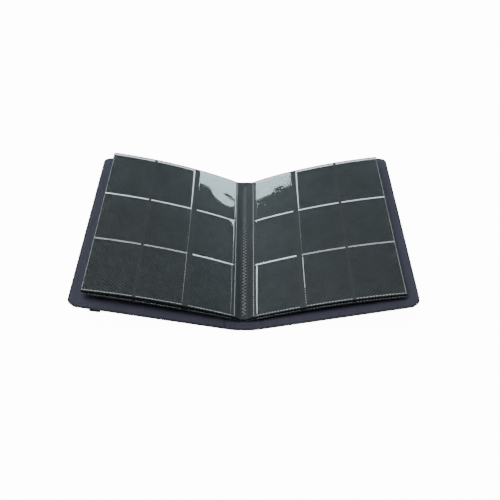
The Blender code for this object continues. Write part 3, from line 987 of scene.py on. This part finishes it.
def weld_with_painted_highlight_material(name, least, most, period):
    """Welded film with the hatching of the welding tool; its pale colour is a painted highlight of the
    weld ridges and lips.
    """
    # painted highlight: the pale base colour makes welds and lips read bright
    mat, tree, shader = new_material(
        name, base_color=(0.80, 0.87, 0.90, 1.0), roughness=0.24, specular_ior_level=0.7
    )
    place = on_sheet(tree)
    hatch = stripes(tree, place, period, 45.0)
    uneven = noise_value(tree, place, 9.0, 3.0)
    shade = total(tree, (hatch, 0.75), (uneven, 0.5))
    tree.links.new(level(tree, shade, 0.4, 0.85, least, most), shader.inputs["Alpha"])
    bump(tree, shader, hatch, 0.12)
    return mat


def thread_material():
    """Grey sewing thread with its twist."""
    mat, tree, shader = new_material("twisted_thread", specular_ior_level=0.3)
    place = in_object(tree)
    twist = stripes(tree, place, 0.5, 30.0)
    base = ramp(tree, twist, 0.1, 0.9, (0.11, 0.118, 0.125), (0.36, 0.38, 0.40))
    surface(tree, shader, base, level(tree, twist, 0.0, 1.0, 0.75, 0.6), twist, 0.1)
    return mat


def elastic_material():
    """Black ribbed elastic, woven across."""
    mat, tree, shader = new_material("woven_elastic", specular_ior_level=0.25, sheen_weight=0.25)
    place = on_sheet(tree)
    picks = stripes(tree, place, 0.7, 90.0)
    fuzz = noise_value(tree, place, 0.6, 4.0)
    shade = total(tree, (picks, 0.6), (fuzz, 0.5))
    base = ramp(tree, shade, 0.3, 0.95, (0.009, 0.009, 0.011), (0.028, 0.028, 0.033))
    surface(tree, shader, base, level(tree, fuzz, 0.3, 0.7, 0.8, 0.95), shade, 0.12)
    return mat


def board_material():
    """Pressed grey board with darker flecks."""
    mat, tree, shader = new_material("pressed_greyboard", specular_ior_level=0.2)
    place = in_object(tree)
    fibre = noise_value(tree, place, 1.2, 6.0, 0.7)
    flecks = noise_value(tree, place, 0.4, 2.0)
    shade = total(tree, (fibre, 0.6), (flecks, 0.4))
    base = ramp(tree, shade, 0.35, 0.7, (0.13, 0.12, 0.11), (0.26, 0.25, 0.22))
    surface(tree, shader, base, level(tree, fibre, 0.3, 0.7, 0.85, 0.97), fibre, 0.1)
    return mat


def tape_material():
    """Black binding cloth."""
    mat, tree, shader = new_material("binding_cloth", specular_ior_level=0.2)
    place = in_object(tree)
    weave = cross_weave(tree, place, 0.9)
    patches = noise_value(tree, place, 20.0)
    shade = total(tree, (weave, 0.5), (patches, 0.5))
    base = ramp(tree, shade, 0.3, 0.9, (0.015, 0.015, 0.017), (0.04, 0.04, 0.043))
    surface(tree, shader, base, level(tree, patches, 0.3, 0.7, 0.75, 0.9), weave, 0.12)
    return mat


def dress_cad_nodes():
    """Finishes for the CAD nodes that stay: boards, stiffener and tape."""
    boards = ("left_cover_board", "right_cover_board", "spine_stiffener")
    finish = {**dict.fromkeys(boards, "greyboard"), "binding_tape": "tape"}
    for node, name in finish.items():
        mesh = frame["nodes"][node].data
        mesh.materials.clear()
        mesh.materials.append(MATERIALS[name])


# ---- studio ----
def make_camera():
    """A camera above the near edge that looks down at the gutter."""
    elevation = math.radians(CAMERA_ELEVATION)
    data = bpy.data.cameras.new("camera")
    data.sensor_width = CAMERA_SENSOR
    data.lens = CAMERA_LENS
    data.shift_y = CAMERA_SHIFT
    data.clip_start = 0.05
    camera = bpy.data.objects.new("camera", data)
    back = Vector((0.0, -math.cos(elevation), math.sin(elevation)))
    camera.location = Vector(CAMERA_AIM) + back * CAMERA_DISTANCE
    camera.rotation_euler = (math.pi / 2 - elevation, 0.0, 0.0)
    camera.rotation_euler.rotate_axis("Z", math.radians(CAMERA_ROLL))
    bpy.context.scene.collection.objects.link(camera)
    bpy.context.scene.camera = camera


def area_light(name, place, aim, width, height, power, colour=(1, 1, 1)):
    """A rectangular soft lamp at a place, facing its aim."""
    data = bpy.data.lights.new(name, "AREA")
    data.shape = "RECTANGLE"
    data.size, data.size_y = width, height
    data.energy = power
    data.color = colour
    light = bpy.data.objects.new(name, data)
    light.location = place
    light.rotation_mode = "QUATERNION"
    light.rotation_quaternion = (Vector(aim) - Vector(place)).to_track_quat("-Z", "Y")
    bpy.context.scene.collection.objects.link(light)
    return light


def make_floor():
    """A plain pale floor, which neither shows in the films nor lights the album."""
    bm = bmesh.new()
    bmesh.ops.create_grid(bm, x_segments=8, y_segments=8, size=FLOOR_HALF)
    mesh = bpy.data.meshes.new("floor")
    bm.to_mesh(mesh)
    bm.free()
    floor = bpy.data.objects.new("floor", mesh)
    floor.location.z = -FLOOR_DROP
    bpy.context.scene.collection.objects.link(floor)
    mat, tree, shader = new_material("pale_floor", roughness=0.9)
    shade = noise_value(tree, in_object(tree), 900.0)
    base = ramp(tree, shade, 0.3, 0.7, (0.80, 0.80, 0.80), (0.84, 0.84, 0.84))
    tree.links.new(base, shader.inputs["Base Color"])
    shader.inputs["Emission Color"].default_value = (1.0, 1.0, 1.0, 1.0)
    shader.inputs["Emission Strength"].default_value = FLOOR_GLOW
    mesh.materials.append(mat)
    floor.visible_diffuse = False
    floor.visible_glossy = False


def make_lamps():
    """A soft lamp overhead, and a low soft box behind each page, which its films mirror."""
    area_light("overhead", LAMP_PLACE, (0, 0, 0), LAMP_SIZE, LAMP_SIZE, LAMP_POWER)
    for side in SIDES.values():
        light = area_light(
            "behind", (BOX_OUT * side, BOX_BACK, BOX_UP), (BOX_OUT * side, 0, BOX_UP), *BOX_SIZE,
            BOX_POWER, BOX_COLOUR,
        )
        turn = Quaternion((0, 1, 0), math.radians(BOX_TURN * side))
        light.rotation_quaternion = turn @ light.rotation_quaternion


def make_room():
    """A dim room, a little lighter all round than overhead."""
    world = bpy.data.worlds.new("room")
    world.use_nodes = True
    bpy.context.scene.world = world
    tree = world.node_tree
    place = add(tree, "TexCoord").outputs["Generated"]
    height = add(tree, "SeparateXYZ", {0: place}).outputs["Z"]
    sky = ramp(tree, height, 0.52, 0.82, (0.16, 0.175, 0.185), (0.05, 0.055, 0.058))
    tree.links.new(sky, tree.nodes["Background"].inputs["Color"])
    tree.nodes["Background"].inputs["Strength"].default_value = 1.0


MATERIALS = {
    "leatherette": leatherette_material(),
    "lining": lining_material(),
    "core_sheet": core_material(),
    "clear_film": film_material(),
    # copies of welded film with more or less painted highlight, from white to faint
    "white_weld_painted_highlight": weld_with_painted_highlight_material("white_weld_painted_highlight", 0.8, 1.0, 1.7),
    "hatched_weld_painted_highlight": weld_with_painted_highlight_material("hatched_weld_painted_highlight", 0.0, 0.7, 1.7),
    "faint_weld_painted_highlight": weld_with_painted_highlight_material("faint_weld_painted_highlight", 0.22, 0.42, 3.0),
    "thread": thread_material(),
    "elastic": elastic_material(),
    "greyboard": board_material(),
    "tape": tape_material(),
}

make_camera()
make_floor()
make_lamps()
make_room()
dress_cad_nodes()
for side_name in SIDES:
    path = CoverPath(side_name)
    make_cover_skin(side_name, path)
    make_cover_liner(side_name, path)
    make_leaves(side_name)
make_strap(CoverPath("left"))
make_sewn_strips()
make_stitches()
